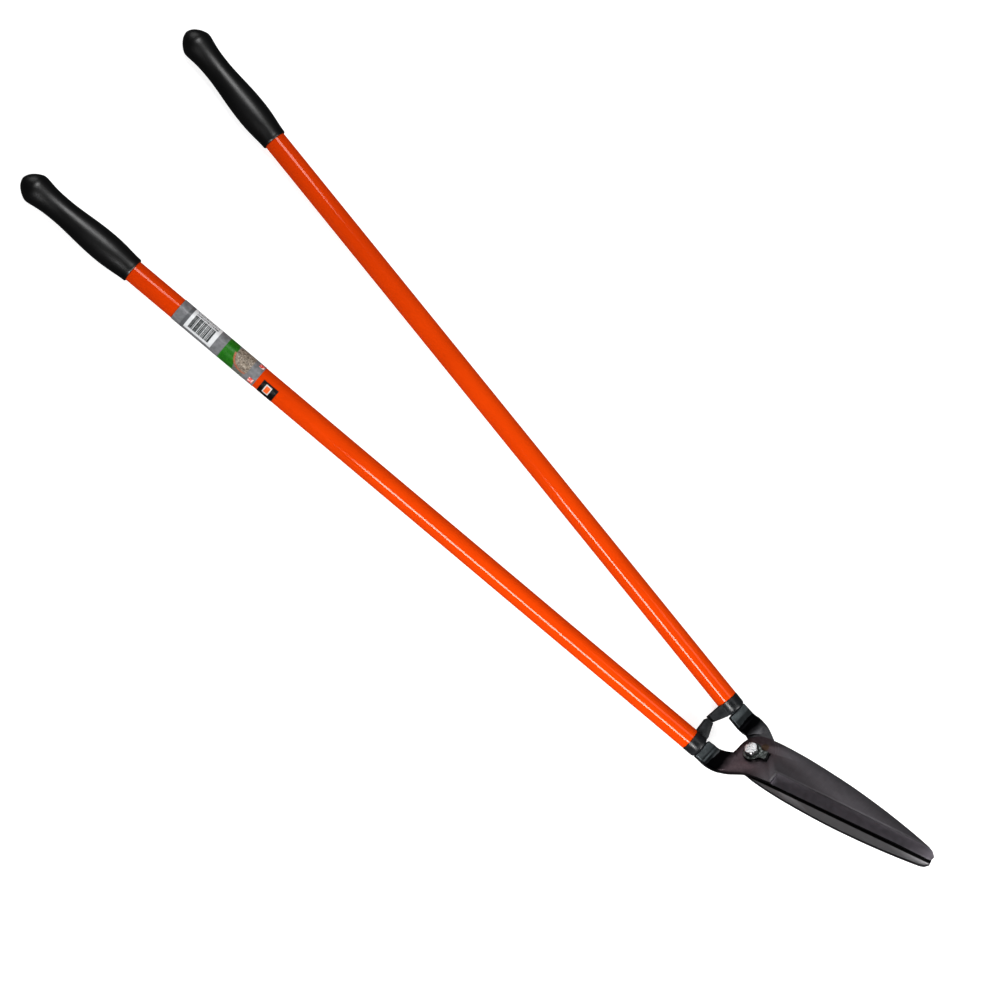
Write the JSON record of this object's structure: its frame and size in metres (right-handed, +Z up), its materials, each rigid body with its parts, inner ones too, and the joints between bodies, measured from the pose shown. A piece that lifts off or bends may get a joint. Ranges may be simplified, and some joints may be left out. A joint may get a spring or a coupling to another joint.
{
  "type": "long-handled lawn shears",
  "caption": "Long-handled lawn shears: two cranked forged blades on one pivot bolt, straight lacquered tube handles, black grips and stop collars.",
  "frame": {"origin": "middle of the underside of the bounding box, tool lying on its grips and collars with the blades rising", "axes": "+X towards the blade tips along the tool's centre line, +Y towards the left handle, +Z up out of the handle plane"},
  "size_m": [1.0484, 0.2492, 0.208],
  "materials": {
    "orange_lacquer": "glossy orange lacquer on steel tube",
    "grip_black": "satin black moulded grip",
    "collar_black": "dark grey-black moulded collar",
    "forged_steel": "dark ground forged steel",
    "zinc_steel": "bright zinc plated steel",
    "label_print": "printed film label",
    "label_black": "black label patch"
  },
  "bodies": {
    "right_half": {"handle_tube_right": "orange_lacquer", "grip_right": "grip_black", "collar_right": "collar_black", "label_wrap": "label_print", "label_patch": "label_black", "blade_upper": "forged_steel", "pivot_bush": "zinc_steel", "washer_upper": "zinc_steel", "tab_washer": "zinc_steel", "pivot_bolt": "zinc_steel", "washer_lower": "zinc_steel", "pivot_nut": "zinc_steel"},
    "left_half": {"handle_tube_left": "orange_lacquer", "grip_left": "grip_black", "collar_left": "collar_black", "blade_lower": "forged_steel"}
  },
  "joints": [
    {"name": "blade_pivot", "type": "hinge", "parent": "right_half", "child": "left_half", "pos_m": [0.36637, 0, 0.04065], "axis": [0.7278, 0, -0.6858], "range_deg": [-1.5, 50]}
  ]
}
